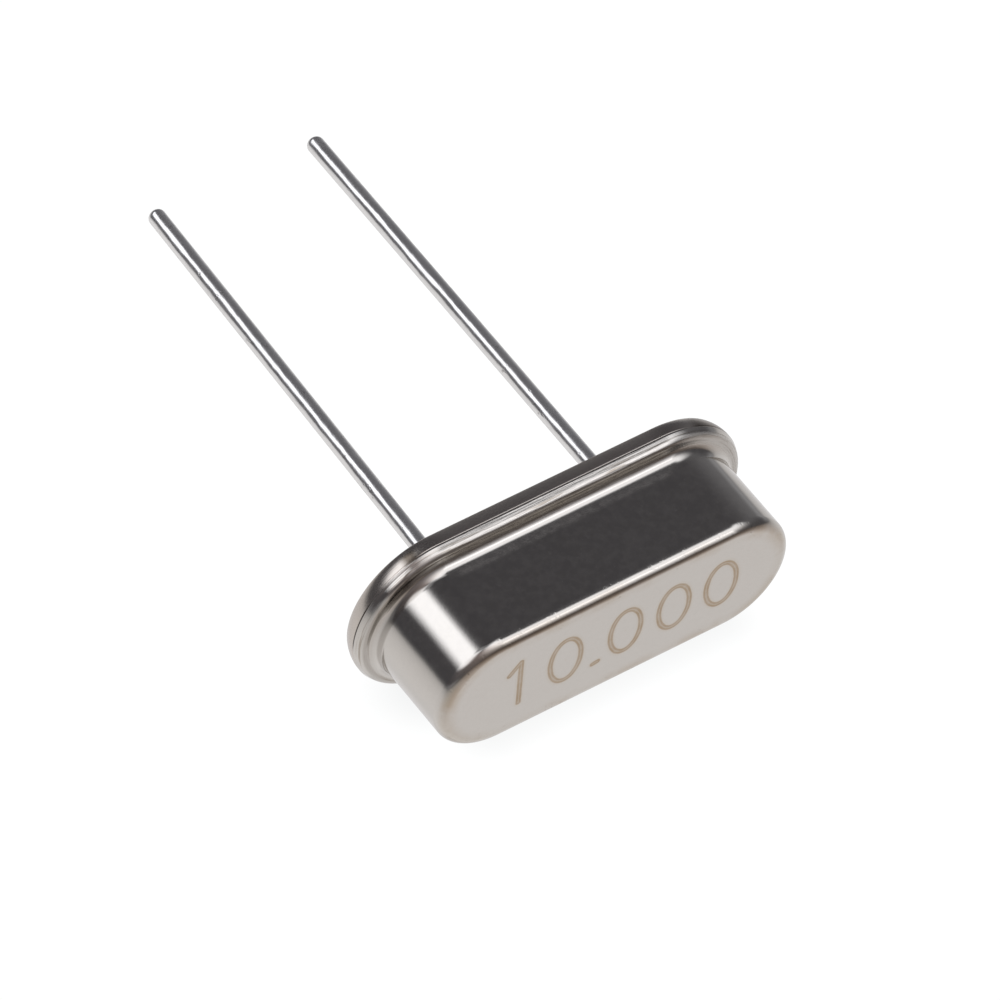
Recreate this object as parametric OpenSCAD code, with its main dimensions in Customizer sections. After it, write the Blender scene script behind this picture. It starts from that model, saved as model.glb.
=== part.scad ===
// Quartz crystal unit in a low-profile resistance-welded metal holder, with two wire leads.
// Sizes in millimetres. Each piece is drawn in the holder's own frame: x along the length,
// z up from the seating plane through the can, leads towards -z. laid() then lays the whole
// thing on its long side, resting on the flange's rim and the can's top edge.

/* [Holder] */
// Length over the welded flange
flange_l = 10.84; // [10.74:0.02:11.1]
// Width over the welded flange
flange_w = 4.58; // [4.48:0.02:4.8]
// Length of the can
can_l = 9.9; // [9.7:0.02:10]
// Width of the can
can_w = 3.52; // [3.44:0.02:3.6]
// Height of the can's top above the seating plane
can_h = 3.35; // [3.2:0.01:3.5]
// Radius of the can's top edge
edge_r = 0.29; // [0.24:0.01:0.34]
// Thickness of the cover's sheet
sheet_t = 0.25; // [0.23:0.01:0.26]

/* [Flange] */
// Thickness of the base's rim
rim_t = 0.44; // [0.36:0.01:0.5]
// Radius of the rim's bottom edge
rim_r = 0.2; // [0.1:0.01:0.24]
// Radius of the cover flange's rolled top edge
lip_r = 0.22; // [0.18:0.01:0.23]
// Slope of the flange's side below the rolled edge, in degrees from upright
lip_a = 22; // [15:1:28]
// Radius of the bend from the flange to the can's wall
bend_r = 0.22; // [0.14:0.01:0.22]
// Radius of the two edges that meet at the weld seam
seam_r = 0.03; // [0.02:0.01:0.05]

/* [Base] */
// Height of the raised pad above the rim, inside the can
pad_h = 0.5; // [0.4:0.02:0.6]
// Gap between the raised pad and the cover's inner wall
pad_gap = 0.14; // [0.1:0.02:0.3]
// Diameter of the glass seal's hole
seal_d = 1.3; // [1.1:0.05:1.5]
// Depth of the glass's meniscus
meniscus = 0.07; // [0.04:0.01:0.1]

/* [Leads] */
// Distance between the leads at the seating plane
pitch = 4.88; // [4.7:0.02:5.08]
// Diameter of a lead
lead_d = 0.45; // [0.4:0.01:0.5]
// Length of a lead below the seating plane
lead_len = 13.3; // [12.7:0.1:15]
// Radius of the rounded edge at a lead's tip
tip_r = 0.18; // [0.05:0.01:0.19]
// Inward lean of the left lead, in degrees
lean_left = 1.4; // [0.5:0.1:3]
// Diameter of the nail head at a lead's inner end
head_d = 0.9; // [0.75:0.05:1]
// Thickness of the nail head
head_t = 0.12; // [0.08:0.01:0.15]

/* [Quartz] */
// Frequency of the blank in MHz, which sets its thickness
freq_mhz = 10; // [8:0.5:20]
// Length of the blank
blank_l = 7.9; // [7.4:0.1:8]
// Width of the blank
blank_w = 1.9; // [1.6:0.1:2]
// Drawn thickness of an electrode's film
film_t = 0.02; // [0.015:0.005:0.03]
// Length of an electrode's pad
pad_l = 3.6; // [3:0.1:4]
// Width of an electrode's pad
pad_w = 1.5; // [1.2:0.1:1.5]
// Width of the strip that leads from the pad to the blank's end
tab_w = 0.86; // [0.84:0.02:0.94]

/* [Clips] */
// Thickness of a clip's strip
clip_t = 0.1; // [0.08:0.01:0.12]
// Width of a clip's strip
clip_w = 1; // [0.8:0.05:1.1]
// Height of a clip's shelf above its foot
clip_rise = 0.62; // [0.5:0.02:0.7]
// Height of a clip's end stop above its shelf
stop_h = 0.4; // [0.3:0.02:0.5]
// Radius of a drop of conductive adhesive
drop_r = 0.4; // [0.36:0.01:0.41]
// Height of a drop's crown above the blank
drop_h = 0.18; // [0.12:0.01:0.22]

/* [Hidden] */
$fn = 64;

seam_z = rim_t;                       // where the base's rim meets the cover's flange
flange_z = rim_t + sheet_t;           // top of the cover's flange
half_run = (can_l - can_w) / 2;       // half of the straight stretch of the can
flange_run = (flange_l - flange_w) / 2; // the same for the flange
foot_y = flange_w / 2 - seam_r;       // centre of the flange's lower edge
foot_z = seam_z + 0.01 + seam_r;
lip_z = flange_z - lip_r;             // centre of the rolled edge, set so that the sloping
lip_y = foot_y + (seam_r - lip_r) * cos(lip_a) // side is tangent to both
      - (lip_z - foot_z + (lip_r - seam_r) * sin(lip_a)) * tan(lip_a);
bend = min(bend_r, flange_run + lip_y - half_run - can_w / 2 - 0.01); // fits past the can's ends too
pad_top = rim_t + pad_h;
pad_half = can_w / 2 - sheet_t - pad_gap;
head_z = pad_top + 0.1;               // underside of the nail head
nail_z = head_z + head_t;             // top of the nail head
shelf_z = nail_z + clip_t / 2 + clip_rise + clip_t / 2;
blank_t = 1.661 / freq_mhz;           // thickness-shear blank: 1.661 MHz mm
blank_z = shelf_z + film_t;
stop_x = blank_l / 2 + 0.08;          // inner face of a clip's end stop
drop_x = stop_x - drop_r;

// Rest pose: the line under the flange's lower edge and the can's top edge is the ground.
gap_z = (can_h - edge_r) - foot_z;
gap_y = foot_y - (can_w / 2 - edge_r);
tilt = atan(gap_y / gap_z) + asin((seam_r - edge_r) / sqrt(gap_y * gap_y + gap_z * gap_z));
rise = seam_r + foot_y * cos(tilt) + foot_z * sin(tilt);
front = (can_w / 2 - edge_r) * sin(tilt) + (can_h - edge_r) * cos(tilt) + edge_r;
back = (lead_len - tip_r) * cos(tilt) + (lead_d / 2 - tip_r) * sin(tilt) + tip_r;

STEEL = [0.74, 0.73, 0.70];
TIN = [0.72, 0.73, 0.74];
GLASS = [0.20, 0.25, 0.24];
QUARTZ = [0.86, 0.92, 0.94, 0.6];
SILVER = [0.90, 0.89, 0.86];
BRONZE = [0.76, 0.68, 0.50];
PASTE = [0.55, 0.56, 0.58];

// Lays the holder down on its long side, centred over the origin, on the ground.
module laid() {
    translate([0, (front - back) / 2, rise]) rotate([90 + tilt, 0, 0]) children();
}

// A solid whose section (x = distance from the middle line, y = height) runs round an
// oblong path: two half turns joined by a straight run of 2 * run.
module oblong(run) {
    for (side = [-1, 1])
        translate([side * run, 0, 0]) rotate([0, 0, -90 * side])
            rotate_extrude(angle = 180) children();
    translate([-run, 0, 0]) rotate([90, 0, 90]) linear_extrude(height = 2 * run) {
        children();
        mirror([1, 0]) children();
    }
}

// A rectangle from x = 0 to w and y = z0 to z1 whose outer corners are rounded:
// r0 at the bottom and r1 at the top.
module slab(w, z0, z1, r0, r1) {
    difference() {
        translate([0, z0]) square([w, z1 - z0]);
        if (r0 > 0) translate([w - r0, z0 + r0]) difference() {
            translate([0, -r0 - 1]) square([r0 + 1, r0 + 1]);
            circle(r0);
        }
        if (r1 > 0) translate([w - r1, z1 - r1]) difference() {
            square([r1 + 1, r1 + 1]);
            circle(r1);
        }
    }
}

// The concave corner that a bend leaves between a wall at x = w and a floor at y = z.
module corner(w, z, r) {
    difference() {
        translate([w - 0.01, z - 0.01]) square([r + 0.01, r + 0.01]);
        translate([w + r, z + r]) circle(r);
    }
}

// Section of the cover's flange: a small lower edge, a sloping side and a rolled top edge.
module flange_section() {
    side = [cos(lip_a), sin(lip_a)];
    intersection() {
        translate([0, seam_z]) square([flange_w, sheet_t + 1]);
        union() {
            translate([foot_y, foot_z]) circle(seam_r);
            translate([lip_y, lip_z]) circle(lip_r);
            polygon([[0, seam_z], [foot_y, seam_z], [foot_y, foot_z],
                     [foot_y, foot_z] + seam_r * side, [lip_y, lip_z] + lip_r * side,
                     [lip_y, lip_z], [lip_y, flange_z], [0, flange_z]]);
        }
    }
}

// Section of the room inside the drawn cover. Below it flares out to the inner side of the
// bend, down to the seam.
module room_section() {
    inner_r = max(edge_r - sheet_t, 0.07);
    slab(can_w / 2 - sheet_t, seam_z - 0.5, can_h - sheet_t, 0, inner_r);
    difference() {
        translate([0, seam_z - 0.5]) square([can_w / 2 + bend, 0.5 + sheet_t + bend]);
        translate([can_w / 2 + bend, flange_z + bend]) circle(bend + sheet_t);
    }
}

// Drawn cover: can with a rounded top edge, bend and flange, hollow inside. The flange is a
// little narrower past the can's ends than along its sides.
module cover() {
    color(STEEL) difference() {
        union() {
            oblong(half_run) slab(can_w / 2, seam_z, can_h, 0, edge_r);
            oblong(half_run) corner(can_w / 2, flange_z, bend);
            oblong(flange_run) flange_section();
        }
        oblong(half_run) room_section();
    }
}

// Stamped header: flange rim, raised pad inside the can, and two holes for the glass.
module base() {
    color(STEEL) difference() {
        union() {
            oblong(flange_run) slab(flange_w / 2, 0, rim_t, rim_r, seam_r);
            oblong(half_run) slab(pad_half, rim_t / 2, pad_top, 0, 0.1);
        }
        for (side = [-1, 1])
            translate([side * pitch / 2, 0, -1]) cylinder(d = seal_d, h = pad_top + 2);
    }
}

// Radius of the shank at height z: it swells slightly towards the upset nail head.
function shank_r(z) = lead_d / 2 + 0.02 * z / head_z;

// Glass bead sealed between the header's hole and the lead, dished at both ends.
module seal(x) {
    half = (seal_d - lead_d) / 4;
    big = (half * half + meniscus * meniscus) / (2 * meniscus);
    mid = (seal_d + lead_d) / 4;
    color(GLASS) translate([x, 0, 0]) rotate_extrude() difference() {
        polygon([[lead_d / 2, 0], [seal_d / 2, 0], [seal_d / 2, pad_top], [shank_r(pad_top), pad_top]]);
        translate([mid, meniscus - big]) circle(big);
        translate([mid, pad_top - meniscus + big]) circle(big);
    }
}

module glass_seal_left() { seal(-pitch / 2); }
module glass_seal_right() { seal(pitch / 2); }

// The part of a lead above the seating plane: shank in the glass and the nail head.
module lead_top() {
    rotate_extrude() {
        polygon([[0, 0], [lead_d / 2, 0], [shank_r(head_z), head_z], [0, head_z]]);
        slab(head_d / 2, head_z, nail_z, 0.04, 0.04);
    }
}

// The part below the seating plane, with a rounded tip.
module lead_wire() {
    mirror([0, 0, 1]) rotate_extrude() slab(lead_d / 2, 0, lead_len, 0, tip_r);
}

module lead_left() {
    color(TIN) translate([-pitch / 2, 0, 0]) {
        lead_top();
        sphere(d = lead_d);
        rotate([0, -lean_left, 0]) lead_wire();
    }
}

module lead_right() {
    color(TIN) translate([pitch / 2, 0, 0]) {
        lead_top();
        lead_wire();
    }
}

// Bent strip spring: foot on the lead's head, sloping riser, shelf and end stop.
module clip() {
    r = clip_t / 2;
    zf = nail_z + r;
    path = [[pitch / 2 - 0.5, zf], [pitch / 2 + 0.42, zf], [pitch / 2 + 0.8, zf + clip_rise],
            [stop_x + r, zf + clip_rise], [stop_x + r, zf + clip_rise + r + stop_h]];
    color(BRONZE) translate([0, clip_w / 2, 0]) rotate([90, 0, 0])
        linear_extrude(height = clip_w) {
            for (i = [0 : len(path) - 2]) {
                run = path[i + 1] - path[i];
                translate(path[i]) rotate(atan2(run[1], run[0]))
                    translate([0, -r]) square([norm(run), clip_t]);
            }
            for (i = [1 : len(path) - 2]) translate(path[i]) circle(r);
        }
}

module clip_left() { mirror([1, 0, 0]) clip(); }
module clip_right() { clip(); }

// Rectangular thickness-shear blank lying parallel to the base.
module quartz_blank() {
    color(QUARTZ) translate([-blank_l / 2, -blank_w / 2, blank_z])
        cube([blank_l, blank_w, blank_t]);
}

// Silver film: an oblong pad in the middle and a strip out to one end.
module electrode(z) {
    color(SILVER) translate([0, 0, z]) linear_extrude(height = film_t) {
        translate([-(pad_l - 0.4) / 2, -pad_w / 2]) square([pad_l - 0.4, pad_w]);
        translate([-pad_l / 2, -(pad_w - 0.4) / 2]) square([pad_l, pad_w - 0.4]);
        for (sx = [-1, 1], sy = [-1, 1])
            translate([sx * (pad_l / 2 - 0.2), sy * (pad_w / 2 - 0.2)]) circle(0.2);
        translate([-blank_l / 2, -tab_w / 2]) square([blank_l / 2, tab_w]);
    }
}

module electrode_top() { electrode(blank_z + blank_t); }
module electrode_bottom() { mirror([1, 0, 0]) electrode(blank_z - film_t); }

// A drop of cured conductive adhesive: it stands on the clip's shelf and wraps round the
// blank's end, from the gap under the blank to a rounded crown above it. strip_z is the
// height of the electrode's strip that it grips.
module drop(strip_z) {
    difference() {
        translate([drop_x, 0, 0]) rotate_extrude()
            slab(drop_r, shelf_z, blank_z + blank_t + film_t + drop_h, 0, drop_h);
        translate([0, -blank_w / 2, blank_z]) cube([blank_l / 2, blank_w, blank_t]);
        translate([0, -tab_w / 2, strip_z]) cube([blank_l / 2, tab_w, film_t]);
    }
}

module adhesive_left() { color(PASTE) mirror([1, 0, 0]) drop(blank_z + blank_t); }
module adhesive_right() { color(PASTE) drop(blank_z - film_t); }

laid() cover();
laid() base();
laid() glass_seal_left();
laid() glass_seal_right();
laid() lead_left();
laid() lead_right();
laid() clip_left();
laid() clip_right();
laid() quartz_blank();
laid() electrode_top();
laid() electrode_bottom();
laid() adhesive_left();
laid() adhesive_right();
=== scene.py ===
import math

import bpy
import numpy as np
from mathutils import Matrix, Vector
from mathutils.geometry import tessellate_polygon


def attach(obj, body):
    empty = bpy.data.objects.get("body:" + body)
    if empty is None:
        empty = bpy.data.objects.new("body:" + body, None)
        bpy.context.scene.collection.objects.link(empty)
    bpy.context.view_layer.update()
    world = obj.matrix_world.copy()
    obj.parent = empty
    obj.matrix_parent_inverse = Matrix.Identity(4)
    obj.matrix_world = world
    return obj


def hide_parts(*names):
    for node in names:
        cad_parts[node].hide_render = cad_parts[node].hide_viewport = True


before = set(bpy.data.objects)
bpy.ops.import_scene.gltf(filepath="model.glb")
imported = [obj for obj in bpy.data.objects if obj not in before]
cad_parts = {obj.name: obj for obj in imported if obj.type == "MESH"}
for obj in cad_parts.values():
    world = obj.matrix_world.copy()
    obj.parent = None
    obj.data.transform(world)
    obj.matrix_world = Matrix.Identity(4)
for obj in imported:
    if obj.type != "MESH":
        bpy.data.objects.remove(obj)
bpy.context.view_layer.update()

# ---------------------------------------------------------------- sizes, in mm, as in the CAD
FLANGE_L, FLANGE_W = 10.84, 4.58
CAN_L, CAN_W, CAN_H = 9.90, 3.52, 3.35
EDGE_R, SHEET = 0.29, 0.25
RIM_T, LIP_R, BEND_R, SEAM_R = 0.44, 0.18, 0.30, 0.03
LIP_A = math.radians(22)
PAD_H, PAD_GAP = 0.5, 0.14
SEAL_D, MENISCUS = 1.3, 0.07
PITCH, LEAD_D, LEAD_LEN, TIP_R = 4.88, 0.45, 13.3, 0.18
LEAN = math.radians(1.4)
HEAD_D, HEAD_T = 0.9, 0.12

FLANGE_Z = RIM_T + SHEET
CAN_RUN = (CAN_L - CAN_W) / 2
RIM_RUN = (FLANGE_L - FLANGE_W) / 2
PAD_TOP = RIM_T + PAD_H
PAD_HALF = CAN_W / 2 - SHEET - PAD_GAP
HEAD_Z = PAD_TOP + 0.1
FOOT_Z = HEAD_Z + HEAD_T

FOOT_Y, FOOT_R = FLANGE_W / 2 - SEAM_R, SEAM_R
LIP_FOOT_Z = RIM_T + 0.01 + SEAM_R
LIP_Z = FLANGE_Z - LIP_R
FOLD_R = 0.016  # the lip's lower edge as drawn, a touch crisper than the CAD's
FOLD_Y, FOLD_Z = FLANGE_W / 2 - FOLD_R, RIM_T + 0.01 + FOLD_R
LIP_Y = FOLD_Y + FOLD_R * math.cos(LIP_A) - LIP_R * math.cos(LIP_A) - (
    (LIP_Z + LIP_R * math.sin(LIP_A)) - (FOLD_Z + FOLD_R * math.sin(LIP_A))
) * math.tan(LIP_A)

GAP_Z = (CAN_H - EDGE_R) - LIP_FOOT_Z
GAP_Y = FOOT_Y - (CAN_W / 2 - EDGE_R)
TILT = math.atan2(GAP_Y, GAP_Z) + math.asin((FOOT_R - EDGE_R) / math.hypot(GAP_Y, GAP_Z))
RISE = FOOT_R + FOOT_Y * math.cos(TILT) + LIP_FOOT_Z * math.sin(TILT)
FRONT = (CAN_W / 2 - EDGE_R) * math.sin(TILT) + (CAN_H - EDGE_R) * math.cos(TILT) + EDGE_R
BACK = (LEAD_LEN - TIP_R) * math.cos(TILT) + (LEAD_D / 2 - TIP_R) * math.sin(TILT) + TIP_R
SIN, COS = math.sin(TILT), math.cos(TILT)
CAN_H, EDGE_R = CAN_H + 0.01, EDGE_R - 0.01  # the drawn edge, a touch crisper than the CAD's


def to_row(p):
    """Holder frame in mm to the row frame in metres."""
    p = np.asarray(p, float)
    x, y, z = p[..., 0], p[..., 1], p[..., 2]
    return np.stack([x, -y * SIN - z * COS + (FRONT - BACK) / 2, y * COS - z * SIN + RISE], -1) / 1000


def turn(n):
    n = np.asarray(n, float)
    x, y, z = n[..., 0], n[..., 1], n[..., 2]
    return np.stack([x, -y * SIN - z * COS, y * COS - z * SIN], -1)


# ---------------------------------------------------------------- mesh tools
class Shell:
    """Faces with a normal at every corner, gathered in the holder's frame."""

    def __init__(self):
        self.v, self.n, self.uv = [], [], []

    def add(self, points, normals, uvs):
        p = np.asarray(points, float)
        keep, last = [], None
        for i in range(len(p)):
            if np.linalg.norm(p[i] - p[i - 1]) > 1e-7:
                keep.append(i)
        if len(keep) < 3:
            return
        p = p[keep]
        n = np.asarray(normals, float)[keep]
        uv = np.asarray(uvs, float)[keep]
        if np.dot(np.cross(p[1] - p[0], p[2] - p[0]) + np.cross(p[2] - p[0], p[-1] - p[0]), n.mean(0)) < 0:
            p, n, uv = p[::-1], n[::-1], uv[::-1]
        self.v.append(p)
        self.n.append(n)
        self.uv.append(uv)

    def build(self, name):
        index, verts, faces = {}, [], []
        for p in self.v:
            face = []
            for q in p:
                key = (round(q[0], 5), round(q[1], 5), round(q[2], 5))
                if key not in index:
                    index[key] = len(verts)
                    verts.append(q)
                face.append(index[key])
            faces.append(face)
        good = [k for k, f in enumerate(faces) if len(set(f)) == len(f)]
        faces = [faces[k] for k in good]
        normals = np.concatenate([self.n[k] for k in good])
        uvs = np.concatenate([self.uv[k] for k in good])
        mesh = bpy.data.meshes.new(name)
        row = to_row(np.array(verts))
        mesh.from_pydata(row.tolist(), [], faces)
        layer = mesh.uv_layers.new(name="run")
        layer.data.foreach_set("uv", uvs.astype(np.float32).ravel())
        local = mesh.attributes.new("holder", "FLOAT_VECTOR", "POINT")
        local.data.foreach_set("vector", np.array(verts, np.float32).ravel())
        mesh.polygons.foreach_set("use_smooth", [True] * len(faces))
        nn = turn(normals)
        nn /= np.linalg.norm(nn, axis=1)[:, None]
        mesh.normals_split_custom_set(nn.tolist())
        mesh.update()
        ob = bpy.data.objects.new(name, mesh)
        bpy.context.scene.collection.objects.link(ob)
        return ob


def line(a, b, run=None, steps=1):
    """A straight stretch of section from a to b, (distance, height); solid on its left."""
    d = np.array(b, float) - np.array(a, float)
    n = np.array([d[1], -d[0]]) / np.linalg.norm(d)
    out = []
    for k in range(steps):
        p, q = np.array(a) + d * k / steps, np.array(a) + d * (k + 1) / steps
        out.append((tuple(p), tuple(q), tuple(n), tuple(n)))
    return out


def arc(c, r, a0, a1, steps, hollow=False):
    """An arc of section about c from a0 to a1 degrees."""
    out = []
    s = -1 if hollow else 1
    for k in range(steps):
        t0 = math.radians(a0 + (a1 - a0) * k / steps)
        t1 = math.radians(a0 + (a1 - a0) * (k + 1) / steps)
        out.append(
            (
                (c[0] + r * math.cos(t0), c[1] + r * math.sin(t0)),
                (c[0] + r * math.cos(t1), c[1] + r * math.sin(t1)),
                (s * math.cos(t0), s * math.sin(t0)),
                (s * math.cos(t1), s * math.sin(t1)),
            )
        )
    return out


def stations(arcs, straight):
    """Stops round an oblong path: (share of the straight run, angle)."""
    out = []
    for k in range(arcs):
        out.append((1.0, -90 + 180 * k / arcs))
    for k in range(straight):
        out.append((1 - 2 * k / straight, 90.0))
    for k in range(arcs):
        out.append((-1.0, 90 + 180 * k / arcs))
    for k in range(straight):
        out.append((-1 + 2 * k / straight, 270.0))
    return out


def oblong(shell, section, arcs=96, straight=24):
    """section: list of (segment, run) where run is half the path's straight stretch."""
    path = stations(arcs, straight)
    path = path + [path[0]]
    length = 0.0
    marks = [0.0]
    for (c0, t0), (c1, t1) in zip(path[:-1], path[1:]):
        step = abs(c1 - c0) * CAN_RUN + math.radians(abs(((t1 - t0 + 180) % 360) - 180)) * CAN_W / 2
        length += step
        marks.append(length)
    along = 0.0
    for (p, q, n0, n1), run0, run1 in section:
        width = math.hypot(q[0] - p[0], q[1] - p[1])
        for k in range(len(path) - 1):
            (c0, t0), (c1, t1) = path[k], path[k + 1]
            cs0, sn0 = math.cos(math.radians(t0)), math.sin(math.radians(t0))
            cs1, sn1 = math.cos(math.radians(t1)), math.sin(math.radians(t1))
            pts = [
                (c0 * run0 + p[0] * cs0, p[0] * sn0, p[1]),
                (c1 * run0 + p[0] * cs1, p[0] * sn1, p[1]),
                (c1 * run1 + q[0] * cs1, q[0] * sn1, q[1]),
                (c0 * run1 + q[0] * cs0, q[0] * sn0, q[1]),
            ]
            nor = [
                (n0[0] * cs0, n0[0] * sn0, n0[1]),
                (n0[0] * cs1, n0[0] * sn1, n0[1]),
                (n1[0] * cs1, n1[0] * sn1, n1[1]),
                (n1[0] * cs0, n1[0] * sn0, n1[1]),
            ]
            uvs = [(marks[k], along), (marks[k + 1], along), (marks[k + 1], along + width), (marks[k], along + width)]
            shell.add(pts, nor, uvs)
        along += width


def with_run(segments, run0, run1=None):
    if run1 is None:
        return [(s, run0, run0) for s in segments]
    n = len(segments)
    return [(s, run0 + (run1 - run0) * k / n, run0 + (run1 - run0) * (k + 1) / n) for k, s in enumerate(segments)]


def lathe(shell, centre, section, steps=64, shape=None):
    """Turns a section round a line parallel to z at centre. shape moves a point if given."""
    along = 0.0
    for p, q, n0, n1 in section:
        width = math.hypot(q[0] - p[0], q[1] - p[1])
        for k in range(steps):
            a0, a1 = 2 * math.pi * k / steps, 2 * math.pi * (k + 1) / steps
            pts = [
                (p[0] * math.cos(a0), p[0] * math.sin(a0), p[1]),
                (p[0] * math.cos(a1), p[0] * math.sin(a1), p[1]),
                (q[0] * math.cos(a1), q[0] * math.sin(a1), q[1]),
                (q[0] * math.cos(a0), q[0] * math.sin(a0), q[1]),
            ]
            nor = [
                (n0[0] * math.cos(a0), n0[0] * math.sin(a0), n0[1]),
                (n0[0] * math.cos(a1), n0[0] * math.sin(a1), n0[1]),
                (n1[0] * math.cos(a1), n1[0] * math.sin(a1), n1[1]),
                (n1[0] * math.cos(a0), n1[0] * math.sin(a0), n1[1]),
            ]
            if shape:
                pts = [shape(x) for x in pts]
            pts = [(x + centre[0], y + centre[1], z) for x, y, z in pts]
            shell.add(pts, nor, [(k / steps, along), ((k + 1) / steps, along), ((k + 1) / steps, along + width), (k / steps, along + width)])
        along += width


def flat(shell, z, up, outer, holes):
    """A flat face at height z bounded by outer, with holes; each a list of (x, y)."""
    loops = [outer] + holes
    flatpts = [p for loop in loops for p in loop]
    tris = tessellate_polygon([[Vector((x, y, 0)) for x, y in loop] for loop in loops])
    n = (0, 0, 1 if up else -1)
    for t in tris:
        shell.add([(flatpts[i][0], flatpts[i][1], z) for i in t], [n] * 3, [flatpts[i] for i in t])


def oblong_outline(r, run, arcs=96, straight=24):
    return [(c * run + r * math.cos(math.radians(t)), r * math.sin(math.radians(t))) for c, t in stations(arcs, straight)]


def circle(cx, cy, r, steps=64):
    return [(cx + r * math.cos(2 * math.pi * k / steps), cy + r * math.sin(2 * math.pi * k / steps)) for k in range(steps)]


# ---------------------------------------------------------------- the shapes
def make_cover():
    s = Shell()
    w, f = CAN_W / 2, FLANGE_W / 2
    lip = math.degrees(LIP_A)
    tang = (FOLD_Y + FOLD_R * math.cos(LIP_A), FOLD_Z + FOLD_R * math.sin(LIP_A))
    brow = (LIP_Y + LIP_R * math.cos(LIP_A), LIP_Z + LIP_R * math.sin(LIP_A))
    outer = []
    outer += with_run(line((w + BEND_R, RIM_T), (FOLD_Y, RIM_T)), CAN_RUN, RIM_RUN)
    outer += with_run(line((FOLD_Y, RIM_T), (FOLD_Y, FOLD_Z - FOLD_R)), RIM_RUN)
    outer += with_run(arc((FOLD_Y, FOLD_Z), FOLD_R, -90, lip, 8), RIM_RUN)
    outer += with_run(line(tang, brow, steps=2), RIM_RUN)
    outer += with_run(arc((LIP_Y, LIP_Z), LIP_R, lip, 90, 18), RIM_RUN)
    outer += with_run(line((LIP_Y, FLANGE_Z), (w + BEND_R, FLANGE_Z)), RIM_RUN)
    outer += with_run(arc((w + BEND_R, FLANGE_Z + BEND_R), BEND_R, 270, 180, 20, hollow=True), RIM_RUN, CAN_RUN)
    outer += with_run(line((w, FLANGE_Z + BEND_R), (w, CAN_H - EDGE_R), steps=14), CAN_RUN)
    outer += with_run(arc((w - EDGE_R, CAN_H - EDGE_R), EDGE_R, 0, 90, 18), CAN_RUN)
    outer += with_run(line((w - EDGE_R, CAN_H), (0, CAN_H), steps=5), CAN_RUN)
    inner_r = 0.07
    wi = w - SHEET
    inner = []
    inner += with_run(line((0, CAN_H - SHEET), (wi - inner_r, CAN_H - SHEET)), CAN_RUN)
    inner += with_run(arc((wi - inner_r, CAN_H - SHEET - inner_r), inner_r, 90, 0, 4, hollow=True), CAN_RUN)
    inner += with_run(line((wi, CAN_H - SHEET - inner_r), (wi, FLANGE_Z + BEND_R)), CAN_RUN)
    inner += with_run(arc((w + BEND_R, FLANGE_Z + BEND_R), BEND_R + SHEET, 180, 270, 8), CAN_RUN)
    oblong(s, outer)
    oblong(s, inner)
    return s.build("can_cover")


def make_base():
    s = Shell()
    f = FLANGE_W / 2
    sec = []
    # a small bottom corner, then the side swells slowly to its full width near the seam
    top_r, inset = SEAM_R + 0.01, 0.007
    corner, lean = 0.08, math.radians(30)
    swell = (RIM_T - top_r - corner * (1 - math.sin(lean))) / math.sin(lean)
    corner_y = f - swell * (1 - math.cos(lean)) - corner * math.cos(lean)
    sec += with_run(arc((corner_y, corner), corner, -90, -30, 6), RIM_RUN)
    sec += with_run(arc((f - swell, RIM_T - top_r), swell, -30, 0, 10), RIM_RUN)
    # the side's upper edge, the weld bead in the seam, and the face under the cover
    turn_a = math.acos(1 - inset / top_r)
    sec += with_run(arc((f - top_r, RIM_T - top_r), top_r, 0, math.degrees(turn_a), 6), RIM_RUN)
    bead = [
        (f - inset, RIM_T - top_r + top_r * math.sin(turn_a)),
        (f - inset, RIM_T + 0.0125),
        (FOLD_Y, RIM_T + 0.010),
        (FOLD_Y, RIM_T),
    ]
    for a, b in zip(bead[:-1], bead[1:]):
        sec += with_run(line(a, b), RIM_RUN)
    sec += with_run(line(bead[-1], (PAD_HALF, RIM_T)), RIM_RUN, CAN_RUN)
    sec += with_run(line((PAD_HALF, RIM_T), (PAD_HALF, PAD_TOP - 0.1)), CAN_RUN)
    sec += with_run(arc((PAD_HALF - 0.1, PAD_TOP - 0.1), 0.1, 0, 90, 6), CAN_RUN)
    oblong(s, sec)
    bores = [circle(-PITCH / 2, 0, SEAL_D / 2), circle(PITCH / 2, 0, SEAL_D / 2)]
    flat(s, 0.0, False, oblong_outline(corner_y, RIM_RUN), bores)
    flat(s, PAD_TOP, True, oblong_outline(PAD_HALF - 0.1, CAN_RUN), bores)
    for x in (-PITCH / 2, PITCH / 2):
        lathe(s, (x, 0), line((SEAL_D / 2, PAD_TOP), (SEAL_D / 2, 0)))
    return s.build("header_base")


def shank(z):
    return LEAD_D / 2 + 0.02 * z / HEAD_Z


def make_seal(name, x):
    s = Shell()
    r0, r1 = LEAD_D / 2, SEAL_D / 2
    half, mid = (r1 - r0) / 2, (r0 + r1) / 2
    big = (half * half + MENISCUS * MENISCUS) / (2 * MENISCUS)
    a = math.degrees(math.asin(half / big))
    sec = []
    sec += arc((mid, MENISCUS - big), big, 90 + a, 90 - a, 14, hollow=False)
    low = [(p, q, (-n0[0], -n0[1]), (-n1[0], -n1[1])) for p, q, n0, n1 in sec]
    lathe(s, (x, 0), low)
    lathe(s, (x, 0), line((r1, 0), (r1, PAD_TOP)))
    half_t, mid_t = (r1 - shank(PAD_TOP)) / 2, (r1 + shank(PAD_TOP)) / 2
    big_t = (half_t * half_t + MENISCUS * MENISCUS) / (2 * MENISCUS)
    at = math.degrees(math.asin(half_t / big_t))
    top = arc((mid_t, PAD_TOP - MENISCUS + big_t), big_t, 270 + at, 270 - at, 10, hollow=True)
    lathe(s, (x, 0), top)
    lathe(s, (x, 0), line((shank(PAD_TOP), PAD_TOP), (r0, 0)))
    return s.build(name)


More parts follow.
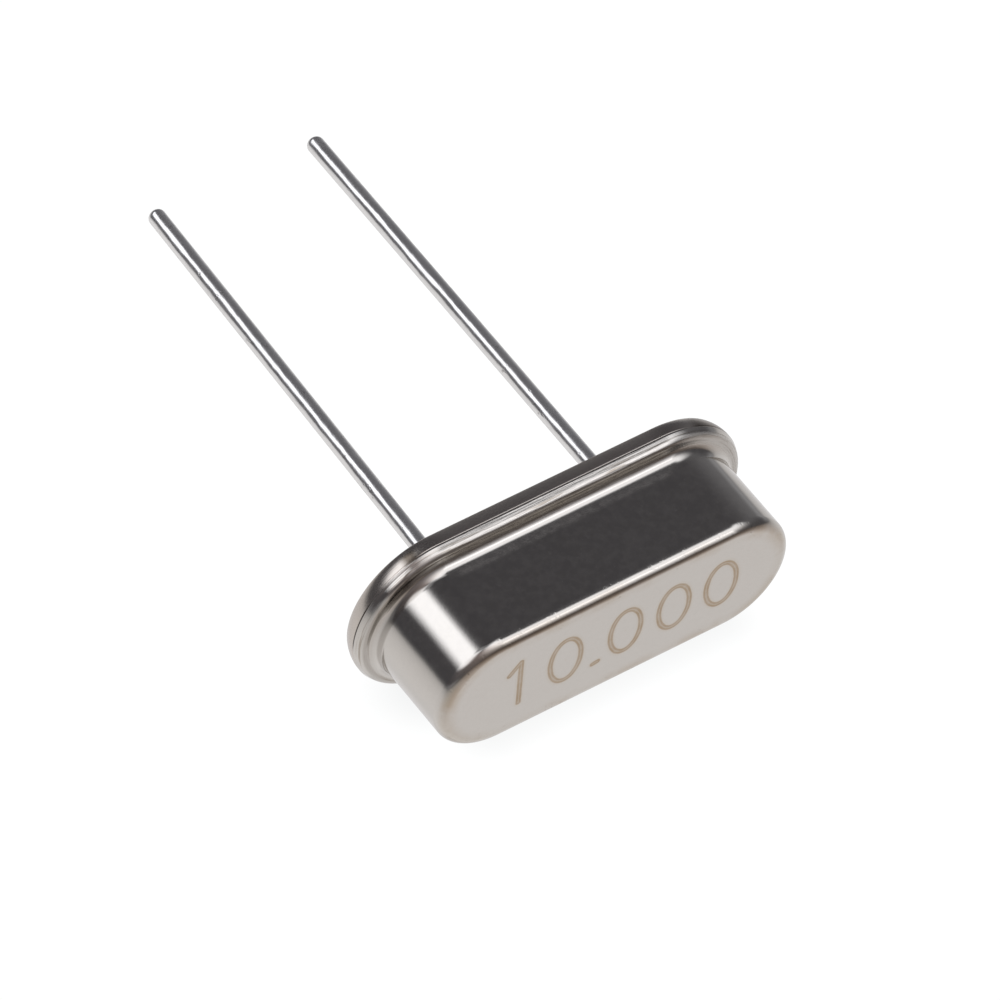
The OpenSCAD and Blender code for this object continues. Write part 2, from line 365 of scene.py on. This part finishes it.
def make_lead(name, x, lean):
    s = Shell()
    r = LEAD_D / 2

    def shape(p):
        px, py, pz = p
        if pz < 0:
            px += math.tan(lean) * (-pz) * min(1.0, -pz / 0.12)
        return px, py, pz

    # from the nail head's top centre down to the tip, which the tin has rounded
    sec = [((0, FOOT_Z), (HEAD_D / 2 - 0.04, FOOT_Z), (0, 1), (0, 1))]
    sec += arc((HEAD_D / 2 - 0.04, FOOT_Z - 0.04), 0.04, 90, 0, 4)
    sec += [((HEAD_D / 2, FOOT_Z - 0.04), (HEAD_D / 2, HEAD_Z + 0.04), (1, 0), (1, 0))]
    sec += arc((HEAD_D / 2 - 0.04, HEAD_Z + 0.04), 0.04, 0, -90, 4)
    sec += [((HEAD_D / 2 - 0.04, HEAD_Z), (shank(HEAD_Z), HEAD_Z), (0, -1), (0, -1))]
    sec += [((shank(HEAD_Z), HEAD_Z), (r, 0), (1, 0), (1, 0))]
    z = 0.0
    low = -LEAD_LEN + TIP_R
    stops = [-0.02 * k for k in range(1, 7)] + list(np.linspace(-0.3, low + 0.3, 60)) + [low + 0.15, low]
    for q in stops:
        sec += [((r, z), (r, q), (1, 0), (1, 0))]
        z = q
    sec += arc((r - TIP_R, low), TIP_R, 0, -90, 14)
    sec += [((r - TIP_R, -LEAD_LEN), (0, -LEAD_LEN), (0, -1), (0, -1))]
    lathe(s, (x, 0), sec, steps=48, shape=shape)
    return s.build(name)


cover = make_cover()
base = make_base()
seal_l = make_seal("glass_bead_left", -PITCH / 2)
seal_r = make_seal("glass_bead_right", PITCH / 2)
lead_l = make_lead("lead_wire_left", -PITCH / 2, LEAN)
lead_r = make_lead("lead_wire_right", PITCH / 2, 0.0)


# ---------------------------------------------------------------- shader tools
class S:
    """A value in a node tree: a socket or a number, with arithmetic."""

    def __init__(self, tree, v):
        self.t, self.v = tree, v

    def _n(self, op, *args, clamp=False):
        n = self.t.nodes.new("ShaderNodeMath")
        n.operation = op
        n.use_clamp = clamp
        for i, a in enumerate(args):
            a = a.v if isinstance(a, S) else a
            if isinstance(a, (int, float)):
                n.inputs[i].default_value = a
            else:
                self.t.links.new(a, n.inputs[i])
        return S(self.t, n.outputs[0])

    def __add__(self, o):
        return self._n("ADD", self, o)

    __radd__ = __add__

    def __sub__(self, o):
        return self._n("SUBTRACT", self, o)

    def __rsub__(self, o):
        return self._n("SUBTRACT", o, self)

    def __mul__(self, o):
        return self._n("MULTIPLY", self, o)

    __rmul__ = __mul__

    def __truediv__(self, o):
        return self._n("DIVIDE", self, o)

    def __rtruediv__(self, o):
        return self._n("DIVIDE", o, self)

    def __pow__(self, o):
        return self._n("POWER", self, o)

    def abs(self):
        return self._n("ABSOLUTE", self)

    def sqrt(self):
        return self._n("SQRT", self)

    def clamp(self):
        return self._n("ADD", self, 0.0, clamp=True)

    def max(self, o):
        return self._n("MAXIMUM", self, o)

    def min(self, o):
        return self._n("MINIMUM", self, o)

    def ss(self, a, b):
        """Smooth step from 0 at a to 1 at b; a and b may be values too."""
        n = self.t.nodes.new("ShaderNodeMapRange")
        n.interpolation_type = "SMOOTHSTEP"
        for i, x in enumerate((self, a, b, 0.0, 1.0)):
            x = x.v if isinstance(x, S) else x
            if isinstance(x, (int, float)):
                n.inputs[i].default_value = x
            else:
                self.t.links.new(x, n.inputs[i])
        return S(self.t, n.outputs[0])

    def lerp(self, a, b):
        return self * (b - a) + a if isinstance(b, S) or isinstance(a, S) else self * (b - a) + a


def wire(tree, value, socket):
    v = value.v if isinstance(value, S) else value
    if isinstance(v, (int, float)):
        socket.default_value = v
    elif isinstance(v, (tuple, list)):
        socket.default_value = v
    else:
        tree.links.new(v, socket)


def rgb(tree, r, g, b):
    n = tree.nodes.new("ShaderNodeCombineColor")
    for i, x in enumerate((r, g, b)):
        wire(tree, x, n.inputs[i])
    return S(tree, n.outputs[0])


def mix_color(tree, fac, a, b):
    n = tree.nodes.new("ShaderNodeMix")
    n.data_type = "RGBA"
    wire(tree, fac, n.inputs[0])
    wire(tree, a if isinstance(a, S) else tuple(a) + (1,), n.inputs[6])
    wire(tree, b if isinstance(b, S) else tuple(b) + (1,), n.inputs[7])
    return S(tree, n.outputs[2])


def xyz(tree, socket):
    n = tree.nodes.new("ShaderNodeSeparateXYZ")
    tree.links.new(socket, n.inputs[0])
    return tuple(S(tree, o) for o in n.outputs)


def noise(tree, vector, scale, detail=2.0, rough=0.5, stretch=None, dist=0.0):
    if stretch:
        m = tree.nodes.new("ShaderNodeVectorMath")
        m.operation = "MULTIPLY"
        tree.links.new(vector, m.inputs[0])
        m.inputs[1].default_value = stretch
        vector = m.outputs[0]
    n = tree.nodes.new("ShaderNodeTexNoise")
    tree.links.new(vector, n.inputs["Vector"])
    n.inputs["Scale"].default_value = scale
    n.inputs["Detail"].default_value = detail
    n.inputs["Roughness"].default_value = rough
    n.inputs["Distortion"].default_value = dist
    return S(tree, n.outputs[0])


def bump(tree, height, strength, distance, after=None):
    n = tree.nodes.new("ShaderNodeBump")
    n.inputs["Strength"].default_value = strength
    n.inputs["Distance"].default_value = distance
    wire(tree, height, n.inputs["Height"])
    if after is not None:
        tree.links.new(after, n.inputs["Normal"])
    return n.outputs[0]


def material(name):
    m = bpy.data.materials.new(name)
    m.use_nodes = True
    t = m.node_tree
    t.nodes.clear()
    out = t.nodes.new("ShaderNodeOutputMaterial")
    p = t.nodes.new("ShaderNodeBsdfPrincipled")
    t.links.new(p.outputs[0], out.inputs["Surface"])
    return m, t, p


def attribute(tree, name):
    n = tree.nodes.new("ShaderNodeAttribute")
    n.attribute_name = name
    return n.outputs["Vector"]


def uv(tree):
    n = tree.nodes.new("ShaderNodeUVMap")
    n.uv_map = "run"
    return n.outputs[0]


# ---------------------------------------------------------------- materials
NICKEL = (0.50, 0.48, 0.445)


def mark_mask(t, x, y):
    """A plain number burnt into the can's top: the distance to its ring and line strokes."""
    half = 0.052

    def ring(cx, cy, a, b):
        u, v = (x - cx) / a, (y - cy) / b
        q = (u * u + v * v).sqrt()
        # distance to the ring, near enough: (q - 1) times the local radius
        g = ((u / a) * (u / a) + (v / b) * (v / b)).sqrt()
        return ((q - 1.0) * q / g.max(0.2)).abs()

    def stroke(x0, y0, x1, y1):
        dx, dy = x1 - x0, y1 - y0
        l2 = dx * dx + dy * dy
        h = (((x - x0) * dx + (y - y0) * dy) / l2).clamp()
        ex, ey = x - x0 - h * dx, y - y0 - h * dy
        return (ex * ex + ey * ey).sqrt()

    d = stroke(-2.72, -0.70, -2.72, 0.78)
    d = d.min(stroke(-2.72, 0.78, -3.04, 0.46))
    for cx in (-1.44, 0.25, 1.62, 2.96):
        d = d.min(ring(cx, 0.04, 0.43, 0.72))
    d = d.min(stroke(-0.64, -0.64, -0.49, -0.615))
    return d


def nickel_cover():
    m, t, p = material("nickel_cover")
    h = attribute(t, "holder")
    x, y, z = xyz(t, h)
    # soft blotches, darker towards the rounded edge where the plating is burnished
    blot = noise(t, h, 0.9, 3.0, 0.55)
    fine = noise(t, h, 9.0, 4.0, 0.6)
    top = z.ss(CAN_H - 0.02, CAN_H - 0.001)
    # distance from the can's middle path, 0 at the middle line of the top
    px = (x.abs() - CAN_RUN).max(0.0)
    r = (px * px + y * y).sqrt()
    rim = r.ss(CAN_W / 2 - EDGE_R - 0.30, CAN_W / 2 - EDGE_R + 0.12) * z.ss(CAN_H - 0.2, CAN_H - 0.02)
    tan = rim * (0.30 + 0.9 * blot.ss(0.42, 0.62) + (x * -1.0).ss(3.4, 4.4) * 0.5) * 0.55
    col = mix_color(t, (fine - 0.5) * 0.25 + (blot - 0.5) * 0.3 + 0.2, (NICKEL[0], NICKEL[1], NICKEL[2]), (0.47, 0.445, 0.405))
    col = mix_color(t, tan.clamp(), col, (0.40, 0.345, 0.275))
    # the burnt number
    d = mark_mask(t, x, y)
    wob = (noise(t, h, 6.0, 3.0, 0.6) - 0.5) * 0.03
    dd = d + wob
    core = 1.0 - dd.ss(0.054, 0.090)
    edge = core - (1.0 - dd.ss(0.004, 0.034)) * 0.42
    on = top * edge * (0.50 + 0.85 * noise(t, h, 3.0, 2.0, 0.5))
    halo = top * (1.0 - dd.ss(0.06, 0.18)) * 0.22
    col = mix_color(t, (on * 0.95).clamp(), col, (0.300, 0.222, 0.140))
    col = mix_color(t, halo.clamp(), col, (0.42, 0.345, 0.25))
    # fine drawn streaks on the lip; painted shade darkens the groove between the lip and the bend
    streak = noise(t, uv(t), 1.0, 3.0, 0.65, stretch=(0.8, 16.0, 1.0))
    lip = z.ss(RIM_T + 0.06, RIM_T + 0.12) * (1.0 - z.ss(FLANGE_Z - 0.002, FLANGE_Z + 0.01))
    col = mix_color(t, lip * streak.ss(0.50, 0.66) * 0.75, col, (0.27, 0.235, 0.19))
    fx = (x.abs() - RIM_RUN).max(0.0)
    fr = (fx * fx + y * y).sqrt()
    groove = (1.0 - z.ss(FLANGE_Z + 0.012, FLANGE_Z + 0.045)) * (1.0 - fr.ss(LIP_Y + 0.03, LIP_Y + 0.10)) * z.ss(FLANGE_Z - 0.1, FLANGE_Z - 0.05)
    round_end = x.abs().ss(CAN_RUN - 0.4, CAN_RUN + 0.4)
    left_end = (x * -1.0).ss(CAN_RUN + 0.4, CAN_RUN + 1.2)
    foot = z.ss(FLANGE_Z + 0.08, FLANGE_Z + 0.14) * (1.0 - z.ss(FLANGE_Z + 0.22, FLANGE_Z + 0.30))
    crown = (1.0 - fr.ss(LIP_Y + 0.06, LIP_Y + 0.12)) * fr.ss(LIP_Y - 0.08, LIP_Y - 0.02) * z.ss(FLANGE_Z - 0.05, FLANGE_Z - 0.02)
    # painted shade: the groove, and at the left end the can's foot and the lip's crown, are darkened in colour
    painted_shade = (groove * (0.85 + 0.25 * fine) * (1.0 - round_end * 0.90) + left_end * (foot * 0.50 + crown * 0.30)).clamp()
    col = mix_color(t, painted_shade, col, (0.20, 0.178, 0.152))
    # small dark specks where the burnished edge has picked up dirt
    dirt = rim * noise(t, h, 13.0, 2.0, 0.6).ss(0.64, 0.72) * noise(t, h, 1.7, 2.0, 0.5).ss(0.45, 0.60)
    col = mix_color(t, dirt * 0.6, col, (0.16, 0.13, 0.10))
    wire(t, col, p.inputs["Base Color"])
    # a thin dusty film, thicker where the long side meets the bend
    low = (1.0 - (z - 1.05).abs().ss(0.03, 0.16)) * (1.0 - x.abs().ss(CAN_RUN - 0.4, CAN_RUN))
    film = noise(t, h, 6.0, 3.0, 0.6).ss(0.35, 0.70)
    specks = noise(t, h, 15.0, 2.0, 0.6).ss(0.69, 0.78)
    # and a matt patch on the flange's right end
    matt = x.ss(RIM_RUN + 0.1, RIM_RUN + 0.7) * z.ss(RIM_T + 0.12, RIM_T + 0.19) * fr.ss(LIP_Y - 0.2, LIP_Y - 0.05)
    wire(t, 1.0 - film * 0.030 - specks * 0.07 - low * (film * 0.08 + 0.05) - matt * 0.45, p.inputs["Metallic"])
    rough = 0.11 + (fine - 0.5) * 0.04 + on.clamp() * 0.12 + tan.clamp() * 0.06 + matt * 0.15
    wire(t, rough, p.inputs["Roughness"])
    # drawn sheet: faint waviness, long fine lines on the flange, small handling marks
    u = uv(t)
    wave = noise(t, h, 0.8, 1.0, 0.4)
    grain = noise(t, h, 22.0, 3.0, 0.55)
    drawn = noise(t, u, 1.0, 3.0, 0.6, stretch=(0.7, 20.0, 1.0))
    flange = 1.0 - z.ss(0.70, 0.80)
    edges = z.ss(CAN_H - 0.30, CAN_H - 0.2) * (1.0 - z.ss(CAN_H - 0.05, CAN_H - 0.01))
    nick = noise(t, h, 5.5, 2.0, 0.6).ss(0.60, 0.74) * edges
    b = bump(t, wave, 0.35, 0.00002)
    b = bump(t, grain, 0.25, 0.0000022, b)
    # the lip stands steeper where it turns round the left end
    out = x * -1.0 - RIM_RUN
    steeper = out.ss(0.75, 1.15) * (1.0 - out.ss(1.50, 1.80)) * y.ss(0.8, 1.2) * fr.ss(1.80, 2.12)
    b = bump(t, steeper * (z - 0.52).max(0.0).min(0.10) * 5.0, 1.0, 0.00006, b)
    b = bump(t, drawn * flange, 0.5, 0.000012, b)
    b = bump(t, nick * -1.0, 0.3, 0.000005, b)
    t.links.new(b, p.inputs["Normal"])
    return m


def nickel_base():
    m, t, p = material("nickel_base")
    h = attribute(t, "holder")
    x, y, z = xyz(t, h)
    blot = noise(t, h, 1.1, 3.0, 0.55)
    fine = noise(t, h, 10.0, 4.0, 0.6)
    col = mix_color(t, (fine - 0.5) * 0.4 + (blot - 0.5) * 0.5 + 0.35, (0.50, 0.465, 0.425), (0.46, 0.42, 0.37))
    bx = (x.abs() - RIM_RUN).max(0.0)
    br = (bx * bx + y * y).sqrt()
    seam = z.ss(RIM_T - 0.03, RIM_T - 0.012) * br.ss(FOOT_Y - 0.1, FOOT_Y - 0.02)
    gape = (x * -1.0).ss(RIM_RUN + 1.75, RIM_RUN + 2.0) * y.ss(-0.25, 0.15)
    # painted shade: the side is darkened brown where it turns round the ends, dimming its reflections there
    out = x - RIM_RUN
    right = out.ss(0.75, 1.1) * y.ss(0.75, 1.15)
    out = x * -1.0 - RIM_RUN
    left = out.ss(0.45, 0.70) * (1.0 - out.ss(0.80, 1.05)) * y.ss(1.0, 1.4) * z.ss(0.10, 0.22)
    ends_painted_shade = (right * (0.95 + (blot - 0.5) * 0.5) * z.ss(0.02, 0.08) + left).clamp()
    col = mix_color(t, ends_painted_shade, col, (0.135, 0.114, 0.092))
    # painted shade: the seam round the lower left end is coloured near-black where the crevice would lie in shade
    col = mix_color(t, seam * gape, col, (0.05, 0.044, 0.038))
    wire(t, col, p.inputs["Base Color"])
    p.inputs["Metallic"].default_value = 1.0
    edge = z.ss(0.004, 0.03) * (1.0 - x.abs().ss(RIM_RUN - 0.4, RIM_RUN + 0.5) * 0.7)
    wire(t, 0.17 + (fine - 0.5) * 0.06 + edge * (0.32 - z * 0.5), p.inputs["Roughness"])
    u = uv(t)
    drawn = noise(t, u, 1.0, 3.0, 0.6, stretch=(0.4, 38.0, 1.0))
    side = z.ss(0.02, 0.08)
    b = bump(t, noise(t, h, 1.2, 1.0, 0.4), 0.3, 0.00002)
    b = bump(t, noise(t, h, 20.0, 3.0, 0.55), 0.3, 0.0000025, b)
    b = bump(t, drawn * side, 0.4, 0.000005, b)
    t.links.new(b, p.inputs["Normal"])
    return m


def tinned():
    m, t, p = material("tinned_wire")
    h = attribute(t, "holder")
    x, y, z = xyz(t, h)
    blot = noise(t, h, 1.6, 3.0, 0.6)
    film = noise(t, h, 1.0, 3.0, 0.6, stretch=(9.0, 9.0, 2.5))
    col = mix_color(t, (film - 0.5) * 0.5 + (blot - 0.5) * 0.6 + 0.4, (0.72, 0.715, 0.70), (0.62, 0.615, 0.60))
    # small pits and scrapes left by handling
    pit = noise(t, h, 1.0, 2.0, 0.6, stretch=(5.0, 5.0, 3.0)).ss(0.655, 0.72)
    col = mix_color(t, pit * 0.6, col, (0.26, 0.25, 0.24))
    wire(t, col, p.inputs["Base Color"])
    wire(t, 0.87 - film.ss(0.4, 0.7) * 0.05, p.inputs["Metallic"])
    wire(t, 0.19 + (blot - 0.5) * 0.14 + pit * 0.1, p.inputs["Roughness"])
    sway = noise(t, h, 1.0, 2.0, 0.5, stretch=(1.6, 1.6, 0.7))
    b = bump(t, sway, 0.8, 0.00005)
    b = bump(t, noise(t, h, 1.0, 2.0, 0.5, stretch=(3.5, 3.5, 2.0)), 0.6, 0.000016, b)
    b = bump(t, film, 0.4, 0.000004, b)
    b = bump(t, pit * -1.0, 0.3, 0.00001, b)
    t.links.new(b, p.inputs["Normal"])
    return m


def sealing_glass():
    m, t, p = material("sealing_glass")
    h = attribute(t, "holder")
    blot = noise(t, h, 5.0, 3.0, 0.6)
    wire(t, mix_color(t, blot, (0.030, 0.045, 0.042), (0.060, 0.078, 0.070)), p.inputs["Base Color"])
    p.inputs["Roughness"].default_value = 0.10
    p.inputs["IOR"].default_value = 1.52
    p.inputs["Coat Weight"].default_value = 0.6
    p.inputs["Coat Roughness"].default_value = 0.05
    t.links.new(bump(t, noise(t, h, 9.0, 2.0, 0.5), 0.2, 0.00001), p.inputs["Normal"])
    return m


def object_mm(t):
    c = t.nodes.new("ShaderNodeTexCoord")
    n = t.nodes.new("ShaderNodeVectorMath")
    n.operation = "SCALE"
    t.links.new(c.outputs["Object"], n.inputs[0])
    n.inputs["Scale"].default_value = 1000.0
    return n.outputs[0]


def spring_strip():
    m, t, p = material("nickel_silver_strip")
    o = object_mm(t)
    n = noise(t, o, 1.0, 3.0, 0.6, stretch=(3.0, 18.0, 18.0))
    wire(t, mix_color(t, n, (0.62, 0.56, 0.45), (0.50, 0.44, 0.34)), p.inputs["Base Color"])
    p.inputs["Metallic"].default_value = 1.0
    wire(t, 0.24 + (n - 0.5) * 0.16, p.inputs["Roughness"])
    t.links.new(bump(t, n, 0.3, 0.000004), p.inputs["Normal"])
    return m


def quartz():
    m, t, p = material("lapped_quartz")
    o = object_mm(t)
    n = noise(t, o, 24.0, 4.0, 0.6)
    wire(t, mix_color(t, n, (0.90, 0.95, 0.97), (0.80, 0.87, 0.90)), p.inputs["Base Color"])
    wire(t, 0.30 + (n - 0.5) * 0.14, p.inputs["Roughness"])
    p.inputs["IOR"].default_value = 1.54
    p.inputs["Transmission Weight"].default_value = 0.85
    t.links.new(bump(t, n, 0.25, 0.000002), p.inputs["Normal"])
    return m


def silver_film():
    m, t, p = material("silver_film")
    o = object_mm(t)
    n = noise(t, o, 14.0, 3.0, 0.55)
    wire(t, mix_color(t, n, (0.92, 0.91, 0.88), (0.84, 0.82, 0.77)), p.inputs["Base Color"])
    p.inputs["Metallic"].default_value = 1.0
    wire(t, 0.26 + (n - 0.5) * 0.12, p.inputs["Roughness"])
    t.links.new(bump(t, n, 0.2, 0.000001), p.inputs["Normal"])
    return m


def silver_paste():
    m, t, p = material("silver_epoxy")
    o = object_mm(t)
    n = noise(t, o, 18.0, 4.0, 0.65)
    wire(t, mix_color(t, n, (0.50, 0.51, 0.53), (0.34, 0.35, 0.37)), p.inputs["Base Color"])
    p.inputs["Metallic"].default_value = 0.6
    wire(t, 0.50 + (n - 0.5) * 0.2, p.inputs["Roughness"])
    t.links.new(bump(t, n, 0.5, 0.000006), p.inputs["Normal"])
    return m


def dress(ob, mat):
    ob.data.materials.clear()
    ob.data.materials.append(mat)


dress(cover, nickel_cover())
dress(base, nickel_base())
glass = sealing_glass()
wire_mat = tinned()
for ob in (seal_l, seal_r):
    dress(ob, glass)
for ob in (lead_l, lead_r):
    dress(ob, wire_mat)

for ob, node in (
    (cover, "cover"),
    (base, "base"),
    (seal_l, "glass_seal_left"),
    (seal_r, "glass_seal_right"),
    (lead_l, "lead_left"),
    (lead_r, "lead_right"),
):
    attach(ob, "root")
    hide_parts(node)

strip, blank, film, paste = spring_strip(), quartz(), silver_film(), silver_paste()
for node, mat in (
    ("clip_left", strip),
    ("clip_right", strip),
    ("quartz_blank", blank),
    ("electrode_top", film),
    ("electrode_bottom", film),
    ("adhesive_left", paste),
    ("adhesive_right", paste),
):
    dress(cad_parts[node], mat)

# ---------------------------------------------------------------- floor
bpy.ops.mesh.primitive_circle_add(vertices=96, radius=0.7, fill_type="NGON", location=(0, 0, -0.00002))
floor = bpy.context.object
floor.name = "floor"
fm = bpy.data.materials.new("floor_paper")
fm.use_nodes = True
ft = fm.node_tree
ft.nodes.clear()
fo = ft.nodes.new("ShaderNodeOutputMaterial")
fe = ft.nodes.new("ShaderNodeEmission")
ft.links.new(fe.outputs[0], fo.inputs["Surface"])
geo = ft.nodes.new("ShaderNodeTexCoord")
fx, fy, fz = xyz(ft, geo.outputs["Object"])
# a faint shade where the can's edge and the flange touch the paper
fx, fy = fx * 1000.0, fy * 1000.0
gx = fx - fx.max(-CAN_RUN).min(CAN_RUN)
gy = fy + 7.4
near_can = (gx * gx + gy * gy).sqrt()
gy2 = fy + 5.2
near_rim = (gx * gx + gy2 * gy2).sqrt()
touch = (1.0 - near_can.ss(0.0, 1.5)) * 0.10
touch = touch.max((1.0 - near_rim.ss(0.0, 2.5)) * 0.17)
paper = 1.03 - touch
wire(ft, rgb(ft, paper * 0.996, paper, paper), fe.inputs["Color"])
fe.inputs["Strength"].default_value = 1.0
floor.data.materials.append(fm)
floor.visible_glossy = False  # the metal reflects the surroundings' lower half, which stands for the lit paper

# ---------------------------------------------------------------- surroundings: two soft boxes in a dim room
world = bpy.data.worlds.new("studio")
bpy.context.scene.world = world
world.use_nodes = True
wt = world.node_tree
wt.nodes.clear()
wo = wt.nodes.new("ShaderNodeOutputWorld")
bg = wt.nodes.new("ShaderNodeBackground")
wt.links.new(bg.outputs[0], wo.inputs["Surface"])
tc = wt.nodes.new("ShaderNodeTexCoord")
dx, dy, dz = xyz(wt, tc.outputs["Generated"])
az = dx._n("ARCTAN2", dx, dy * -1.0) * 57.29578
el = dx._n("ARCSINE", dz) * 57.29578



def dome(value, centre, width):
    """A bell, 1 at centre, near enough to a Gaussian of that width."""
    q = (value - centre) / width
    return 1.0 / ((q * q * 0.5 + 1.0) ** 3.0)


box1 = az.ss(-178, -172) * (1.0 - az.ss(-74, -32)) * el.ss(30.5, 46.5)
upper = az * 0.094 + 74.3
box1 = box1 * (1.0 - (el - upper).ss(0.0, 10.0))
lev1 = az.ss(-130, -60).lerp(1.94, 1.43)
left = 23.9 - el * 0.489
right = el * 1.12 + 19.0
crown = 72.7 - az.ss(50, 53) * 14.8
box2 = (az - left).ss(-29, 29) * (1.0 - (az - right).ss(-23, 23)) * (1.0 - (el - crown).ss(-6.8, 6.8)) * el.ss(-18, 44.6)
box2 = box2 * (1.0 - dome(az, 50.5, 8.5) * dome(el, 59.0, 5.5) * 0.68)
mast = (1.0 - (az - 26.5).abs().ss(0.9, 5.0)) * (el.ss(-14, 14) * (1.0 - el.ss(32, 42)) * 0.68 + dome(el, 30.0, 6.5) * 0.62)
glow = az.ss(-165, -135) * (1.0 - az.ss(42, 130)) * el.ss(69, 71) * (1.0 - el.ss(72, 90) * 0.6) * (az.ss(-40, 40) * 1.5 + 1.0)
brown = az.ss(-130, 10) * (1.0 - az.ss(7, 52)) * el.ss(-5, 60).lerp(0.008, 0.242) * (1.0 - el.ss(60, 75))
haze = az.ss(-45, -15) * (1.0 - az.ss(15, 50)) * (1.0 - el.ss(8, 34)) * 0.055
back = (az.ss(75, 100) + (1.0 - az.ss(-60, -25))) * (1.0 - el.ss(0, 11))
flank = az.ss(50, 65) * (1.0 - az.ss(85, 125)) * el.ss(8, 34) * (1.0 - el.ss(50, 62))
fill = az.ss(-71, -68) * (1.0 - az.ss(110, 144))
side = dome(az, 118.0, 22.0) * el.ss(-8, 4) * (1.0 - el.ss(4, 50))
lum = box1 * lev1 + box2 * 1.556 + mast + glow * 0.36 + back * 0.20 + flank * 0.06 + fill * 0.018 + side * 0.12
brown = brown + haze
dim = 0.088
# the lit paper below: bright beside the part, falling off with distance towards the viewer
drop = ((az * -1.0).ss(60, 100) * 7.0 - el).max(0.3)
away = 3.6 / drop._n("TANGENT", drop / 57.29578)
turn_r = (az - 28.0).max(0.0)
turn_l = (28.0 - az).max(0.0)
half_way = (turn_r * 0.0278 + turn_l * 0.0165 + 1.36)._n("EXPONENT", turn_r * 0.0278 + turn_l * 0.0165 + 1.36)
steep = 2.9 - (az - 28.0).abs().ss(0, 45) * 1.6
over = (az.ss(95, 130) * 0.20).max((az * -1.0).ss(132, 160) * 0.12)
paper = 0.12 + (0.93 - over) / ((away / half_way) ** steep + 1.0)
warm = (1.0 - paper) * (1.0 - (az - 23.0).abs().ss(20, 75)) + 0.0
down_mix = (el - (az * -1.0).ss(60, 100) * 9.0).ss(-9, 1)
up_r = lum * 0.985 + brown * 1.28 + dim
up_g = lum + brown + dim * 0.97
up_b = lum * 1.06 + brown * 0.93 + dim * 1.08
dn_r = paper * (1.02 + warm * 0.22)
dn_b = paper * (1.015 - warm * 0.13)
room = rgb(
    wt,
    dn_r + (up_r - dn_r) * down_mix,
    paper + (up_g - paper) * down_mix,
    dn_b + (up_b - dn_b) * down_mix,
)
wseen = wt.nodes.new("ShaderNodeLightPath")
wire(wt, mix_color(wt, S(wt, wseen.outputs["Is Camera Ray"]), room, (1.02, 1.02, 1.02)), bg.inputs["Color"])
bg.inputs["Strength"].default_value = 1.0

# ---------------------------------------------------------------- camera, as the photograph was taken
cam_data = bpy.data.cameras.new("camera")
cam = bpy.data.objects.new("camera", cam_data)
bpy.context.scene.collection.objects.link(cam)
eye = to_row((-86.3231, 167.5009, 110.2573))
side = turn((0.828183, 0.054660, 0.557785))
down = turn((-0.398617, -0.642156, 0.654783))
look = turn((0.393976, -0.764623, -0.510034))
cam.matrix_world = Matrix(
    [[float(side[k]), -float(down[k]), -float(look[k]), float(eye[k])] for k in range(3)] + [[0, 0, 0, 1]]
)
cam_data.sensor_width = 36.0
cam_data.sensor_fit = "HORIZONTAL"
cam_data.lens = 335.563
cam_data.clip_start = 0.005
cam_data.clip_end = 5.0
bpy.context.scene.camera = cam
bpy.context.scene.view_settings.view_transform = "Standard"
bpy.context.scene.view_settings.look = "None"
